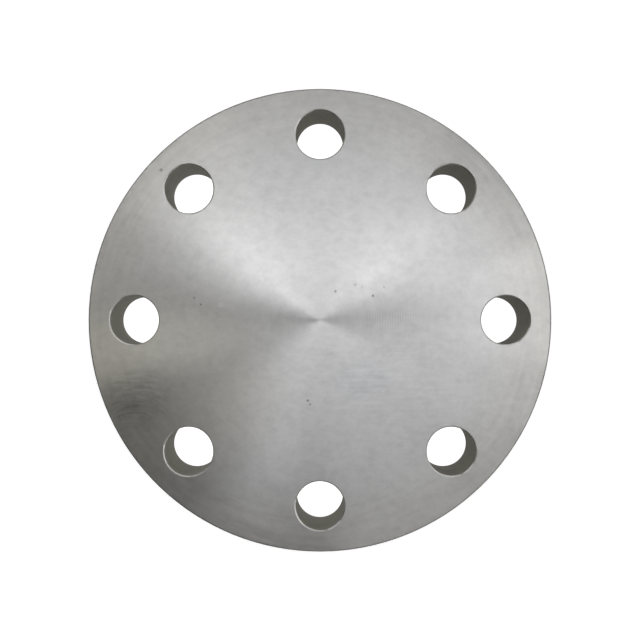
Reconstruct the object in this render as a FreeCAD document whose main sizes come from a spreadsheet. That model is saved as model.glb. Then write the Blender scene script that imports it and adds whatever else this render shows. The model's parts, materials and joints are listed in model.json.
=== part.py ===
"""Blind flange: a one-piece forged and machined plate that closes the end of a flanged pipe.

Millimetres, +Z up along the flange's axis. The origin is the centre of the gasket face, which
points down, so the flange lies on its raised face with its nut face on top. The bolt holes are
evenly spaced from the +X axis, so with eight of them one lies on each of the X and Y axes.
"""

import FreeCAD, Part
import math
import os
import Sketcher

OUT_DIR = "parts"
NODE = "blind_flange"

# The driving dimensions, all in millimetres but the count: alias, value, meaning.
SIZES = (
    ("outer_diameter", 210.0, "outside diameter"),
    ("flange_thickness", 27.0, "nut face to the face around the raised face"),
    ("raised_face_diameter", 127.0, "diameter of the raised gasket face"),
    ("raised_face_height", 1.6, "how far the gasket face stands proud"),
    ("bolt_circle_diameter", 168.3, "diameter of the circle of bolt holes"),
    ("bolt_hole_diameter", 22.2, "clearance hole for a 3/4 inch stud"),
    ("bolt_hole_count", 8, "number of bolt holes"),
    ("rim_chamfer", 0.7, "45 degree chamfer on both edges of the rim"),
    ("hole_chamfer", 0.5, "45 degree chamfer on both mouths of each bolt hole"),
    ("edge_break", 0.3, "45 degree edge break around the gasket face"),
    ("root_radius", 0.8, "radius in the corner between the raised face and the flange"),
)

# How a Sketcher constraint names the ends of a line, the centre of a circle, the axes and the origin.
START, END, CENTRE = 1, 2, 3
X_AXIS, Y_AXIS = -1, -2
ORIGIN = (X_AXIS, START)

LENGTH_TOLERANCE = 1e-6
VOLUME_TOLERANCE = 1e-8  # as a share of the volume


def make_sheet(doc):
    """The spreadsheet that every feature's sizes are bound to."""
    sheet = doc.addObject("Spreadsheet::Sheet", "Sizes")
    for row, (alias, value, meaning) in enumerate(SIZES, start=1):
        sheet.set(f"A{row}", meaning)
        sheet.set(f"B{row}", str(value))
        sheet.setAlias(f"B{row}", alias)
    doc.recompute()
    return sheet


def new_sketch(body, name, plane_role):
    """A sketch on one of the body's own origin planes."""
    plane = next(item for item in body.Origin.OriginFeatures if item.Role == plane_role)
    sketch = body.newObject("Sketcher::SketchObject", name)
    sketch.AttachmentSupport = [(plane, "")]
    sketch.MapMode = "FlatFace"
    return sketch


def drive(sketch, constraint, name, expression):
    """Adds a named constraint whose value follows the spreadsheet."""
    index = sketch.addConstraint(constraint)
    sketch.renameConstraint(index, name)
    sketch.setExpression(f"Constraints.{name}", expression)


def drive_radius(sketch, line, point, name, expression):
    """Sets how far the end of a line of the turned section is from the axis."""
    now = sketch.getPoint(line, point).x
    drive(sketch, Sketcher.Constraint("DistanceX", *ORIGIN, line, point, now), name, expression)


def drive_height(sketch, line, point, name, expression):
    """Sets how far the end of a line of the turned section is above the gasket face."""
    now = sketch.getPoint(line, point).y
    drive(sketch, Sketcher.Constraint("DistanceY", *ORIGIN, line, point, now), name, expression)


def section_corners(sheet):
    """Corners (radius, height) of the turned section, from the centre of the gasket face round."""
    rim = sheet.outer_diameter / 2
    face = sheet.raised_face_diameter / 2
    step = sheet.raised_face_height
    top = step + sheet.flange_thickness
    return (
        (0, 0),
        (face - sheet.edge_break, 0),
        (face, sheet.edge_break),
        (face, step),
        (rim - sheet.rim_chamfer, step),
        (rim, step + sheet.rim_chamfer),
        (rim, top - sheet.rim_chamfer),
        (rim - sheet.rim_chamfer, top),
        (0, top),
    )


def draw_section(sketch, sheet):
    """The closed half section of the disc: sketch x is the radius and sketch y is the height."""
    corners = [FreeCAD.Vector(radius, height, 0) for radius, height in section_corners(sheet)]
    following = corners[1:] + corners[:1]
    lines = [sketch.addGeometry(Part.LineSegment(a, b), False) for a, b in zip(corners, following)]
    for line, after in zip(lines, lines[1:] + lines[:1]):
        sketch.addConstraint(Sketcher.Constraint("Coincident", line, END, after, START))

    gasket_face, face_break, step_wall, shoulder, low_chamfer, rim, high_chamfer, nut_face, axis = lines
    sketch.addConstraint(Sketcher.Constraint("Coincident", gasket_face, START, *ORIGIN))
    sketch.addConstraint(Sketcher.Constraint("PointOnObject", axis, START, Y_AXIS))
    for line in (gasket_face, shoulder, nut_face):
        sketch.addConstraint(Sketcher.Constraint("Horizontal", line))
    for line in (step_wall, rim):
        sketch.addConstraint(Sketcher.Constraint("Vertical", line))

    raised_radius = "Sizes.raised_face_diameter / 2"
    rim_radius = "Sizes.outer_diameter / 2"
    top = "Sizes.raised_face_height + Sizes.flange_thickness"
    drive_radius(sketch, gasket_face, END, "gasket_face_radius", f"{raised_radius} - Sizes.edge_break")
    drive_radius(sketch, face_break, END, "raised_face_radius", raised_radius)
    drive_height(sketch, face_break, END, "edge_break_height", "Sizes.edge_break")
    drive_height(sketch, step_wall, END, "step_height", "Sizes.raised_face_height")
    drive_radius(sketch, shoulder, END, "shoulder_radius", f"{rim_radius} - Sizes.rim_chamfer")
    drive_radius(sketch, low_chamfer, END, "rim_radius", rim_radius)
    drive_height(sketch, low_chamfer, END, "rim_bottom", "Sizes.raised_face_height + Sizes.rim_chamfer")
    drive_height(sketch, rim, END, "rim_top", f"{top} - Sizes.rim_chamfer")
    drive_radius(sketch, high_chamfer, END, "nut_face_radius", f"{rim_radius} - Sizes.rim_chamfer")
    drive_height(sketch, nut_face, END, "overall_height", top)


def turn_blank(body, sheet):
    """The disc with its raised face and chamfered rim, as it comes off the lathe."""
    section = new_sketch(body, "TurnedSection", "XZ_Plane")
    draw_section(section, sheet)
    blank = body.newObject("PartDesign::Revolution", "TurnedBlank")
    blank.Profile = section
    blank.ReferenceAxis = (section, ["V_Axis"])
    blank.Angle = 360
    section.Visibility = False
    body.Document.recompute()
    return blank


def circular_edges(shape, radius):
    """Names of the shape's circular edges of that radius."""
    return [
        f"Edge{number}"
        for number, edge in enumerate(shape.Edges, start=1)
        if isinstance(edge.Curve, Part.Circle)
        and math.isclose(edge.Curve.Radius, radius, abs_tol=LENGTH_TOLERANCE)
    ]


def round_root(body, blank, sheet):
    """The radius that the tool leaves where the raised face meets the flange."""
    step_edges = circular_edges(blank.Shape, sheet.raised_face_diameter / 2)
    root = max(step_edges, key=lambda name: blank.Shape.getElement(name).BoundBox.ZMax)
    fillet = body.newObject("PartDesign::Fillet", "RaisedFaceRoot")
    fillet.Base = (blank, [root])
    fillet.setExpression("Radius", "Sizes.root_radius")
    body.Document.recompute()
    return fillet


def drill_bolt_holes(body, sheet):
    """One bolt hole drilled down through the nut face, then repeated round the bolt circle."""
    centre = FreeCAD.Vector(sheet.bolt_circle_diameter / 2, 0, 0)
    diameter = sheet.bolt_hole_diameter
    mouth = new_sketch(body, "BoltHoleMouth", "XY_Plane")
    mouth.setExpression("AttachmentOffset.Base.z", "Sizes.raised_face_height + Sizes.flange_thickness")
    circle = mouth.addGeometry(Part.Circle(centre, FreeCAD.Vector(0, 0, 1), diameter / 2), False)
    mouth.addConstraint(Sketcher.Constraint("PointOnObject", circle, CENTRE, X_AXIS))
    drive_radius(mouth, circle, CENTRE, "bolt_circle_radius", "Sizes.bolt_circle_diameter / 2")
    drive(mouth, Sketcher.Constraint("Diameter", circle, diameter), "diameter", "Sizes.bolt_hole_diameter")
    mouth.Visibility = False
    body.Document.recompute()

    hole = body.newObject("PartDesign::Hole", "BoltHole")
    hole.Profile = mouth
    hole.DepthType = "ThroughAll"
    hole.setExpression("Diameter", "Sizes.bolt_hole_diameter")
    body.Document.recompute()

    ring = body.newObject("PartDesign::PolarPattern", "BoltHoles")
    ring.Originals = [hole]
    ring.Axis = (mouth, ["N_Axis"])
    ring.Angle = 360
    ring.setExpression("Occurrences", "Sizes.bolt_hole_count")
    body.Tip = ring
    body.Document.recompute()
    return ring


def chamfer_bolt_holes(body, drilled, sheet):
    """The 45 degree chamfers on both mouths of every bolt hole."""
    chamfer = body.newObject("PartDesign::Chamfer", "BoltHoleChamfers")
    chamfer.Base = (drilled, circular_edges(drilled.Shape, sheet.bolt_hole_diameter / 2))
    chamfer.setExpression("Size", "Sizes.hole_chamfer")
    body.Tip = chamfer
    body.Document.recompute()


def frustum(wide, narrow, height):
    """Volume of a frustum of a cone between two radii."""
    return math.pi * height * (wide**2 + wide * narrow + narrow**2) / 3


def disc_volume(sheet):
    """The full-width disc with its two rim chamfers, before drilling."""
    rim, chamfer = sheet.outer_diameter / 2, sheet.rim_chamfer
    middle = math.pi * rim**2 * (sheet.flange_thickness - 2 * chamfer)
    return middle + 2 * frustum(rim, rim - chamfer, chamfer)


def raised_face_volume(sheet):
    """The raised face with its edge break."""
    face, edge = sheet.raised_face_diameter / 2, sheet.edge_break
    return math.pi * face**2 * (sheet.raised_face_height - edge) + frustum(face, face - edge, edge)


def root_fillet_volume(sheet):
    """The fillet round the raised face: a square less a quarter circle, turned about the axis."""
    share_of_square = 1 - math.pi / 4
    area = share_of_square * sheet.root_radius**2
    centroid_from_wall = sheet.root_radius * (1 - 1 / (6 * share_of_square))
    return 2 * math.pi * (sheet.raised_face_diameter / 2 + centroid_from_wall) * area


def bolt_hole_volume(sheet):
    """What is drilled away for one bolt hole and its two mouth chamfers."""
    bore, chamfer = sheet.bolt_hole_diameter / 2, sheet.hole_chamfer
    middle = math.pi * bore**2 * (sheet.flange_thickness - 2 * chamfer)
    return middle + 2 * frustum(bore + chamfer, bore, chamfer)


def check(doc, body, sheet):
    """Stops the build if a feature failed or cut nothing, or the flange isn't one valid solid."""
    for item in doc.Objects:
        if {"Invalid", "Error"} & set(item.State):
            raise RuntimeError(f"{item.Label} failed: {item.State}")
    shape = body.Shape
    if shape.isNull() or not shape.isValid() or len(shape.Solids) != 1:
        raise RuntimeError(f"{body.Label} isn't one valid solid")
    expected = disc_volume(sheet) + raised_face_volume(sheet) + root_fillet_volume(sheet)
    expected -= sheet.bolt_hole_count * bolt_hole_volume(sheet)
    if not math.isclose(shape.Volume, expected, rel_tol=VOLUME_TOLERANCE):
        raise RuntimeError(f"{body.Label} has {shape.Volume:.2f} mm3 and not {expected:.2f} mm3")


def main():
    doc = FreeCAD.newDocument("BlindFlange")
    sheet = make_sheet(doc)
    body = doc.addObject("PartDesign::Body", "Flange")
    body.Label = NODE
    blank = turn_blank(body, sheet)
    round_root(body, blank, sheet)
    drilled = drill_bolt_holes(body, sheet)
    chamfer_bolt_holes(body, drilled, sheet)
    doc.recompute()
    check(doc, body, sheet)

    os.makedirs(OUT_DIR, exist_ok=True)
    body.Shape.exportStep(os.path.join(OUT_DIR, f"{body.Label}.step"))
    box = body.Shape.BoundBox
    print(f"{body.Label}: {box.XLength:.2f} x {box.YLength:.2f} x {box.ZLength:.2f} mm, "
          f"{body.Shape.Volume:.2f} mm3, {len(body.Shape.Faces)} faces")


main()
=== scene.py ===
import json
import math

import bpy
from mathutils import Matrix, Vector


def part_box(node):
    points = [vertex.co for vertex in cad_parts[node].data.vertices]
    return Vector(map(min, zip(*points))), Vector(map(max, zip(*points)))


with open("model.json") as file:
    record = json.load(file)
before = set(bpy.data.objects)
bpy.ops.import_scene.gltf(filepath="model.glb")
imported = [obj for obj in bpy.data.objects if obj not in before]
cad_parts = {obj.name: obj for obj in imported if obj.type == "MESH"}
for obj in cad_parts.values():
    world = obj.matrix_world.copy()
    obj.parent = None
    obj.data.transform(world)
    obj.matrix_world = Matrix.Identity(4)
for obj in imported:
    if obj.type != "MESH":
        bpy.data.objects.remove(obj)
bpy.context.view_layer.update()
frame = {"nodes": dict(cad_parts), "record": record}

# The blind flange lies on its raised gasket face on a pale studio table and is seen from straight
# above. Its one CAD node keeps its own mesh and gets the finish of bare steel that was turned on a
# lathe and drilled. Lengths are in metres in the CAD's frame, and in mm inside the steel material.

NODE = "blind_flange"
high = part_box(NODE)[1]
TOP = high.z

MM_PER_METRE = 1000.0
MOUNTS = {mount["name"]: mount for mount in frame["record"]["mounts"]}
BOLTS = MOUNTS["bolt_circle"]["dims"]
HOLE_COUNT = BOLTS["count"]
BOLT_CIRCLE_RADIUS_MM = BOLTS["pcd_mm"] / 2
HOLE_RADIUS_MM = BOLTS["hole_r_mm"]
RIM_RADIUS_MM = MM_PER_METRE * high.x
TOP_MM = MM_PER_METRE * TOP

# ---------------------------------------------------------------- shader nodes


class Signal:
    """A number that varies over a surface. Arithmetic on signals adds Math nodes to the graph."""

    def __init__(self, graph, socket):
        self.graph = graph
        self.socket = socket

    def math(self, operation, *others):
        return Signal(self.graph, self.graph.add("Math", (self, *others), operation=operation))

    def __add__(self, other):
        return self.math("ADD", other)

    def __sub__(self, other):
        return self.math("SUBTRACT", other)

    def __mul__(self, other):
        return self.math("MULTIPLY", other)

    def __truediv__(self, other):
        return self.math("DIVIDE", other)

    def __rsub__(self, other):
        return self * -1.0 + other

    __radd__ = __add__
    __rmul__ = __mul__

    def ramp(self, start, end):
        """0 at start, 1 at end and smooth between. Start may be above end."""
        inputs = (self, start, end, 0.0, 1.0)
        smooth = self.graph.add("MapRange", inputs, interpolation_type="SMOOTHSTEP")
        return Signal(self.graph, smooth)


class Graph:
    """Builds the node tree of one material or world."""

    def __init__(self, owner):
        owner.use_nodes = True
        self.tree = owner.node_tree
        self.tree.nodes.clear()

    def feed(self, socket, value):
        if isinstance(value, Signal):
            value = value.socket
        if isinstance(value, bpy.types.NodeSocket):
            self.tree.links.new(value, socket)
        else:
            socket.default_value = value

    def add(self, kind, inputs=(), **settings):
        """Adds a node, feeds its first inputs in order and gives back its first output, if any."""
        node = self.tree.nodes.new("ShaderNode" + kind)
        for name, value in settings.items():
            setattr(node, name, value)
        for socket, value in zip(node.inputs, inputs):
            self.feed(socket, value)
        return node.outputs[0] if node.outputs else None

    def vector(self, x, y, z):
        return self.add("CombineXYZ", (x, y, z))

    def vector_math(self, operation, first, second=(0.0, 0.0, 0.0)):
        return self.add("VectorMath", (first, second), operation=operation)

    def scaled(self, vector, factor):
        node = self.add("VectorMath", (vector,), operation="SCALE").node
        self.feed(node.inputs["Scale"], factor)
        return node.outputs[0]

    def split(self, vector):
        return [Signal(self, output) for output in self.add("SeparateXYZ", (vector,)).node.outputs]

    def noise(self, x, y, z, detail, roughness=0.5):
        """Fractal noise, mostly from -0.5 to 0.5, with one cycle or so per unit of x, y and z."""
        node = self.add("TexNoise").node
        self.feed(node.inputs["Vector"], self.vector(x, y, z))
        self.feed(node.inputs["Scale"], 1.0)
        self.feed(node.inputs["Detail"], detail)
        self.feed(node.inputs["Roughness"], roughness)
        return Signal(self, node.outputs[0]) - 0.5

    # A Mix node has sockets for every type of data, so these two go by socket number.

    def vector_choice(self, share, first, second):
        node = self.add("Mix", data_type="VECTOR").node
        for number, value in ((0, share), (4, first), (5, second)):
            self.feed(node.inputs[number], value)
        return node.outputs[1]

    def colour_choice(self, share, first, second):
        node = self.add("Mix", data_type="RGBA").node
        self.feed(node.inputs[0], share)
        for number, colour in ((6, first), (7, second)):
            self.feed(node.inputs[number], (*colour, 1.0) if isinstance(colour, tuple) else colour)
        return node.outputs[2]


# How upright a normal is, from 0 to 1, where chamfers give way to level faces and to walls.
LEVEL_BEGINS = (0.93, 0.985)
WALL_BEGINS = (0.6, 0.4)


def grooves(coordinate, pitch):
    """Evenly fed tool marks: a wave from -1 to 1 along a coordinate, with its pitch in mm."""
    return (coordinate * (2 * math.pi / pitch)).math("SINE")


class Place:
    """Where a shaded point lies on the flange, in mm, and how far, from 0 to 1, it belongs to each
    kind of machined surface."""

    def __init__(self, graph):
        self.graph = graph
        coordinates = graph.add("TexCoord").node
        self.normal = coordinates.outputs["Normal"]
        position = graph.scaled(coordinates.outputs["Object"], MM_PER_METRE)
        self.x, self.y, self.z = graph.split(position)
        self.radius = (self.x * self.x + self.y * self.y).math("SQRT")

        # The upright part of the normal tells level faces, chamfers and walls apart.
        upright = graph.split(self.normal)[2].math("ABSOLUTE")
        self.level = upright.ramp(*LEVEL_BEGINS)
        self.steep = upright.ramp(*WALL_BEGINS)
        self.chamfer = (1.0 - self.level) * (1.0 - self.steep)
        self.nut_face = self.level * self.z.ramp(TOP_MM - 2, TOP_MM - 1)
        self.gasket_face = self.level * self.z.ramp(0.6, 0.4)
        self.rim = self.steep * self.radius.ramp(RIM_RADIUS_MM - 1.5, RIM_RADIUS_MM - 0.5)
        self.rim_chamfer = self.chamfer * self.radius.ramp(RIM_RADIUS_MM - 4, RIM_RADIUS_MM - 2)

        # The holes repeat around the axis, so one fold of the angle serves them all.
        step = 2 * math.pi / HOLE_COUNT
        angle = self.y.math("ARCTAN2", self.x)
        folded = angle - (angle / step).math("ROUND") * step
        along = folded.math("COSINE") * self.radius - BOLT_CIRCLE_RADIUS_MM
        beside = folded.math("SINE") * self.radius
        from_hole = (along * along + beside * beside).math("SQRT")
        self.bore = self.steep * from_hole.ramp(HOLE_RADIUS_MM + 1.5, HOLE_RADIUS_MM + 0.5)

        # Tool marks circle the axis on level faces and lie level on walls, so the direction across
        # them is outwards on the first and upright on the second.
        outwards = graph.vector_math("NORMALIZE", graph.vector(self.x, self.y, 0.0))
        self.across = graph.vector_choice(self.level, (0.0, 0.0, 1.0), outwards)
        self.along = graph.vector_math("CROSS_PRODUCT", self.normal, self.across)
        self.depth = self.level * self.radius + (1.0 - self.level) * self.z

        # The arcs of the tool show most towards the rim.
        self.ringed = 0.3 + self.radius.ramp(78.0, 96.0) * 0.7

    def streaks(self, length, pitch, shift):
        """Noise in arcs about as long as length and as wide as pitch, in mm, that follow the tool.
        Another shift gives other noise."""
        return self.graph.noise(
            self.x / length + shift, self.y / length + shift, self.depth / pitch, detail=1.0)

    def clouds(self, width, height, detail=2.0, roughness=0.5, shift=0.0):
        """Noise in patches of about width by height mm, as seen from above."""
        return self.graph.noise(
            self.x / width + shift, self.y / height, self.z / width, detail, roughness)

    def distance(self, x, y, squash=1.0):
        """Level distance from (x, y) in mm, in circles flattened by the factor squash."""
        dx = self.x - x
        dy = (self.y - y) / squash
        return (dx * dx + dy * dy).math("SQRT")

    def spot(self, x, y, radius, soft=1.0, squash=1.0):
        """1 in a spot of that radius at (x, y), in mm, down to 0 over the outer share soft of it."""
        return self.distance(x, y, squash).ramp(radius, radius * (1.0 - soft))

    def ripples(self, x, y, length, pitch):
        """Noise in arcs about (x, y), about as long as length and as wide as pitch, all in mm."""
        return self.graph.noise(
            self.x / length, self.y / length, self.distance(x, y) / pitch, detail=2.0)


# ---------------------------------------------------------------- the steel

FACE_FEED_MM = 1.15
RIM_FEED_MM = 1.2
SERRATION_PITCH_MM = 0.8

METAL_SHARE = 0.70  # the rest is the dull scatter of fine dust and oil on the metal
ROUGHNESS = 0.190
ANISOTROPY = 0.93
STEEL = (0.600, 0.600, 0.601)
FILMED_STEEL = (0.604, 0.591, 0.540)
OILED_STEEL = (0.600, 0.586, 0.500)
COOL_STEEL = (0.582, 0.596, 0.612)

# Single marks on the nut face, and two patches of painted shade: x, y and radius in mm, the outer
# share of it that fades, how far the mark is flattened, and how much lighter it makes the metal.
MARKS_AND_PAINTED_SHADE = (
    # painted shade for the dim area at the lower left, then the darkest of the dried oil in it
    (-84.0, -36.0, 30.0, 1.0, 1.0, -0.10),
    (-62.0, -68.0, 34.0, 1.0, 1.0, -0.13),
    (-85.0, -39.0, 8.0, 1.0, 0.6, -0.10),
    # pale blots
    (-17.0, -61.0, 11.0, 0.4, 1.4, 0.05),
    (-70.0, -67.0, 3.0, 1.0, 1.0, 0.10),
    # a small pale ring: a spot and its darker middle
    (-45.0, 7.0, 1.5, 0.6, 1.0, 0.20),
    (-45.0, 7.0, 0.7, 1.0, 1.0, -0.20),
    # pits and specks
    (-72.0, 68.0, 1.1, 0.8, 1.0, -0.45),
    (-57.0, 10.0, 0.8, 0.8, 1.0, -0.40),
    (-54.0, 7.0, 0.8, 0.8, 1.0, -0.40),
    (7.0, 13.0, 0.9, 0.8, 1.0, -0.55),
    (16.0, 16.0, 0.9, 0.8, 1.0, -0.30),
    (19.0, 15.0, 0.7, 0.8, 1.0, -0.20),
    (24.0, 11.0, 0.9, 0.8, 1.0, -0.55),
    (29.0, 15.0, 0.8, 0.8, 1.0, -0.30),
    (-5.5, -36.5, 0.9, 0.8, 1.0, -0.60),
    (-4.5, -38.2, 0.8, 0.8, 1.0, -0.50),
)


def metal_tone(place, wipes, damp, fine_rings):
    """How light the metal is, as a factor around 1. Each term is a pattern, times where it lies,
    times its strength."""
    nut_face = place.nut_face

    # Arcs from the tool, then clouds from handling.
    tone = 1.0 + place.streaks(length=40, pitch=2.2, shift=3.0) * place.ringed * 0.16
    tone = tone + place.streaks(length=6, pitch=0.5, shift=7.0) * 0.07
    tone = tone + place.clouds(22, 18, detail=4.0) * 0.06
    tone = tone + place.clouds(4.5, 3.6, detail=3.0, roughness=0.7, shift=11.0) * 0.34

    # Mottling at the back, wipe marks at the right and in front, fine rings beside the centre.
    mottling = place.clouds(7, 5, detail=3.0, roughness=0.6, shift=21.0)
    tone = tone + mottling * place.spot(0.0, 50.0, 75.0) * nut_face * 0.14
    tone = tone + wipes * place.spot(34.0, -32.0, 60.0) * nut_face * 0.20
    tone = tone + damp * (wipes * 0.16 - 0.04)
    tone = tone + fine_rings * place.spot(31.0, 1.0, 22.0, squash=0.32) * 0.15

    # Single marks: a dried patch of oil with ripples in it, a dim blot, and the listed ones, whose
    # first two are painted shade.
    oil_patch = place.spot(-83.0, -35.0, 19.0, soft=0.6) * nut_face
    tone = tone - oil_patch * (0.09 + place.ripples(-84.0, -57.0, length=6.0, pitch=1.2) * 0.55)
    tone = tone - place.spot(5.0, -16.0, 4.5) * nut_face * (0.06 + place.clouds(2, 2) * 0.2)
    for x, y, radius, soft, squash, lighter in MARKS_AND_PAINTED_SHADE:
        tone = tone + place.spot(x, y, radius, soft, squash) * nut_face * lighter

    # The rim has a rolled skin's patches. Its chamfer is darker all round, and darker still at the
    # lower left, which is painted shade.
    tone = tone + place.clouds(24, 9, detail=3.0, shift=6.0) * place.rim * 0.16
    tone = tone + place.streaks(length=60, pitch=1.7, shift=12.0) * place.rim * 0.16
    tone = tone + place.chamfer * 0.08 - place.rim_chamfer * 0.26
    return tone - place.rim_chamfer * place.spot(-84.0, -74.0, 95.0, soft=0.5) * 0.42


def metal_colour(graph, place, wipes, damp):
    """The metal's colour before its tone. It has a thin warm film from handling and cutting oil,
    at the left, towards the rim and on the walls. The bores hold more oil. Some wipes look cool."""
    film = place.radius.ramp(70.0, 106.0) * 0.4
    film = film + place.spot(-74.0, -30.0, 66.0, soft=0.6, squash=0.85) * 0.7
    film = film * place.level + (1.0 - place.level) * 0.4
    colour = graph.colour_choice(film, STEEL, FILMED_STEEL)
    colour = graph.colour_choice(wipes.ramp(-0.1, 0.1) * damp, colour, COOL_STEEL)
    return graph.colour_choice(place.bore, colour, OILED_STEEL)


def leaning_normal(graph, place, fine_rings):
    """The normal, where each tool mark leans a little along itself and across."""
    along = place.streaks(length=40, pitch=0.7, shift=1.0) * 0.012 + fine_rings * 0.012
    across = place.streaks(length=20, pitch=1.4, shift=9.0) * place.ringed * 0.05
    on_walls = place.bore + place.rim
    across = across + place.streaks(length=30, pitch=0.8, shift=4.0) * on_walls * 0.25
    across = across + grooves(place.z, RIM_FEED_MM) * place.rim * 0.06
    across = across + grooves(place.radius, SERRATION_PITCH_MM) * place.gasket_face * 0.25
    lean = graph.vector_math(
        "ADD", graph.scaled(place.along, along), graph.scaled(place.across, across))
    return graph.vector_math("NORMALIZE", graph.vector_math("ADD", place.normal, lean))


def turned_steel():
    """Bare steel that was turned on a lathe, drilled, wiped and handled."""
    material = bpy.data.materials.new("turned_steel")
    graph = Graph(material)
    place = Place(graph)

    wipes = place.clouds(14, 1.4, shift=5.0)
    damp = place.spot(19.0, -27.0, 18.0, soft=0.6, squash=0.6) * place.nut_face
    unevenness = 0.5 + place.clouds(8, 5, shift=15.0) * 1.5
    fine_rings = grooves(place.radius, FACE_FEED_MM) * place.nut_face * unevenness

    colour = metal_colour(graph, place, wipes, damp)
    colour = graph.scaled(colour, metal_tone(place, wipes, damp, fine_rings))
    roughness = ROUGHNESS + place.clouds(15, 12, shift=8.0) * 0.03
    roughness = roughness + place.bore * 0.10 + place.rim * 0.14

    shader = graph.add("BsdfPrincipled").node
    graph.feed(shader.inputs["Base Color"], colour)
    graph.feed(shader.inputs["Metallic"], METAL_SHARE)
    graph.feed(shader.inputs["Roughness"], roughness)
    graph.feed(shader.inputs["Anisotropic"], ANISOTROPY)
    graph.feed(shader.inputs["Tangent"], place.across)
    graph.feed(shader.inputs["Normal"], leaning_normal(graph, place, fine_rings))
    graph.add("OutputMaterial", (shader.outputs[0],))
    return material


# ---------------------------------------------------------------- studio

WHITE = (1.0, 1.0, 1.0)
WARM = (1.0, 0.985, 0.93)

TABLE_RADIUS = 4.0
TABLE_ALBEDO = 0.5
HOLE_CARD_HEIGHT = 0.0008  # between the table and the flange's underside round the raised face
HOLE_CARD_GLOW = 1.2
DISC_CORNERS = 96

HORIZON_GLOW = 0.425  # the room at eye level, halfway between its light side and its dark side
HORIZON_CHANGE = 0.2275  # how much lighter it is per unit of a direction's x and y
CEILING_GLOW = 0.004
CEILING_FROM = 0.6  # the z of a direction from which the room is as dim as the ceiling

# Soft boxes: name, azimuth from +X towards +Y and tilt from straight up in degrees, level width and
# height in metres, how bright it looks, colour, and distance from the middle of the nut face. Those
# high above the face make the fans of light on it. The low ones, last in the list, light the
# chamfers, the rim and the other views.
SOFT_BOXES = (
    ("front_strip", 90, 5.0, 0.36, 0.12, 3.45, WHITE, 1.2),
    ("back_panel", 87, 18.1, 0.53, 0.36, 0.85, WHITE, 1.2),
    ("near_panel", 278, 8.2, 0.37, 0.31, 0.83, WHITE, 1.2),
    ("near_strip", 301, 20.8, 0.41, 0.12, 0.84, WHITE, 1.2),
    ("right_panel", 3, 16.2, 0.48, 0.26, 1.26, WHITE, 1.2),
    ("right_edge", 5, 18.8, 0.22, 0.20, 1.08, WHITE, 1.2),
    ("left_strip", 187, 16.0, 0.12, 0.29, 0.86, WARM, 1.2),
    ("far_left_strip", 147, 20.5, 0.46, 0.18, 0.86, WARM, 1.2),
    ("diagonal_strip", 141, 13.8, 0.08, 0.17, 0.68, WHITE, 1.2),
    ("small_card_left", 232, 4.8, 0.08, 0.12, 0.54, WHITE, 1.2),
    ("small_card_right", 336, 5.2, 0.08, 0.10, 0.80, WHITE, 1.2),
    ("low_window_right", 5, 82.0, 1.70, 0.33, 1.20, WHITE, 1.3),
    ("low_window_back", 72, 82.0, 1.70, 0.33, 0.80, WHITE, 1.3),
    ("low_panel_left", 135, 66.0, 1.20, 0.70, 0.80, WHITE, 1.6),
    ("low_panel_right", 315, 74.0, 1.40, 0.60, 0.40, WHITE, 1.6),
)

CAMERA_DISTANCE = 0.378  # above the nut face
CAMERA_ASIDE = (-0.0002, -0.0016)
LENS_MM = 46.94
SENSOR_MM = 36.0
NEAR_CLIP = 0.01


def seen_by_camera(graph):
    """1 where the camera sees a thing directly, 0 in reflections and in light cast on others."""
    return Signal(graph, graph.add("LightPath").node.outputs["Is Camera Ray"])


def card_material(name, albedo, glow):
    """A matt white card with a glow of its own, given by the function glow. Its arguments are 1
    where the camera sees the card directly and 0 elsewhere, and the place on the card in metres."""
    material = bpy.data.materials.new(name)
    graph = Graph(material)
    matt = graph.add("BsdfDiffuse", ((albedo, albedo, albedo, 1.0),))
    x, y, _ = graph.split(graph.add("TexCoord").node.outputs["Object"])
    shine = graph.add("Emission", ((*WHITE, 1.0), glow(seen_by_camera(graph), x, y)))
    graph.add("OutputMaterial", (graph.add("AddShader", (matt, shine)),))
    return material


def table_glow(seen_directly, x, y):
    """A light table: it photographs as clean white, whiter far out. It lights the bores from below,
    more on the left than on the right, and the rim from beside the flange."""
    distance = (x * x + y * y).math("SQRT")
    far = distance.ramp(0.2, 1.5)
    under_flange = distance.ramp(0.14, 0.10)
    leftwards = (x * -1.0 - y * 0.5).ramp(-0.1, 0.1)
    beside_flange = distance.ramp(0.105, 0.12) * distance.ramp(0.24, 0.15)
    from_below = 0.02 + under_flange * (0.065 + leftwards * 0.075) + beside_flange * 0.45
    return seen_directly * (0.9 + far * 0.15) + (1.0 - seen_directly) * from_below


def disc(name, radius, centre, material):
    """A level round card."""
    corners = range(DISC_CORNERS)
    angles = [2 * math.pi * i / DISC_CORNERS for i in corners]
    ring = [(radius * math.cos(angle), radius * math.sin(angle), 0.0) for angle in angles]
    mesh = bpy.data.meshes.new(name)
    mesh.from_pydata(ring, [], [corners])
    mesh.materials.append(material)
    card = bpy.data.objects.new(name, mesh)
    card.location = centre
    bpy.context.scene.collection.objects.link(card)
    return card


def hole_glow(seen_directly, x, y):
    """White to the camera and dark to everything else, all over the card."""
    return seen_directly * HOLE_CARD_GLOW


def white_behind_holes():
    """The photograph is white through the bolt holes, so a white card lies in the foot of each one.
    Only the camera sees it: the bores go on reflecting the table."""
    white = card_material("hole_card", 0.0, hole_glow)
    circle = BOLT_CIRCLE_RADIUS_MM / MM_PER_METRE
    for i in range(HOLE_COUNT):
        angle = 2 * math.pi * i / HOLE_COUNT
        centre = (circle * math.cos(angle), circle * math.sin(angle), HOLE_CARD_HEIGHT)
        card = disc(f"hole_card_{i + 1}", HOLE_RADIUS_MM / MM_PER_METRE, centre, white)
        card.visible_diffuse = False
        card.visible_glossy = False
        card.visible_shadow = False


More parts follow.
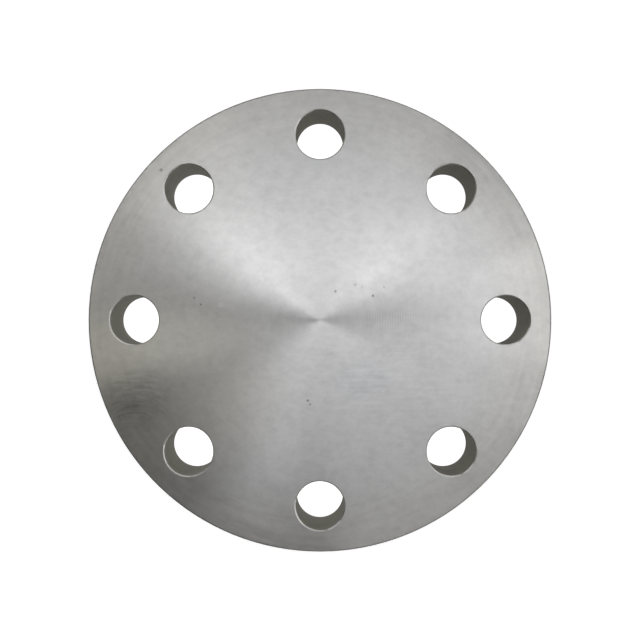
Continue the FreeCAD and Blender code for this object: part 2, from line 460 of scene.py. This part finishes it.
def soft_box(name, azimuth, tilt, width, height, radiance, colour, distance):
    """A rectangular light that faces the middle of the nut face. The camera can't see it."""
    light = bpy.data.lights.new(name, "AREA")
    light.shape = "RECTANGLE"
    light.size = width
    light.size_y = height
    light.energy = radiance * math.pi * width * height
    light.color = colour
    azimuth, tilt = math.radians(azimuth), math.radians(tilt)
    level = math.sin(tilt)
    away = Vector((level * math.cos(azimuth), level * math.sin(azimuth), math.cos(tilt)))
    box = bpy.data.objects.new(name, light)
    box.location = Vector((0.0, 0.0, TOP)) + distance * away
    box.rotation_mode = "QUATERNION"
    box.rotation_quaternion = away.to_track_quat("Z", "Y")
    box.visible_camera = False
    bpy.context.scene.collection.objects.link(box)


def studio_world():
    """White where the camera looks past the table. Otherwise a dim room, lighter low down, and there
    lighter at the right and at the back."""
    world = bpy.data.worlds.new("studio")
    bpy.context.scene.world = world
    graph = Graph(world)
    x, y, z = graph.split(graph.add("TexCoord").node.outputs["Generated"])
    horizon = HORIZON_GLOW + (x + y) * HORIZON_CHANGE
    upwards = z.ramp(0.0, CEILING_FROM)
    room = horizon * (1.0 - upwards) + upwards * CEILING_GLOW
    seen_directly = seen_by_camera(graph)
    strength = seen_directly + (1.0 - seen_directly) * room
    graph.add("OutputWorld", (graph.add("Background", ((*WHITE, 1.0), strength)),))


def camera():
    """Straight above the nut face, a hair off its axis, and turned to look at its middle."""
    data = bpy.data.cameras.new("camera")
    data.sensor_width = SENSOR_MM
    data.lens = LENS_MM
    data.clip_start = NEAR_CLIP
    view = bpy.data.objects.new("camera", data)
    x, y = CAMERA_ASIDE
    view.location = (x, y, TOP + CAMERA_DISTANCE)
    view.rotation_euler = (-math.atan(y / CAMERA_DISTANCE), math.atan(x / CAMERA_DISTANCE), 0.0)
    bpy.context.scene.collection.objects.link(view)
    bpy.context.scene.camera = view


frame["nodes"][NODE].material_slots[0].material = turned_steel()

disc("table", TABLE_RADIUS, (0.0, 0.0, 0.0), card_material("table", TABLE_ALBEDO, table_glow))
white_behind_holes()
studio_world()
camera()
for row in SOFT_BOXES:
    soft_box(*row)

bpy.context.scene.view_settings.view_transform = "Standard"
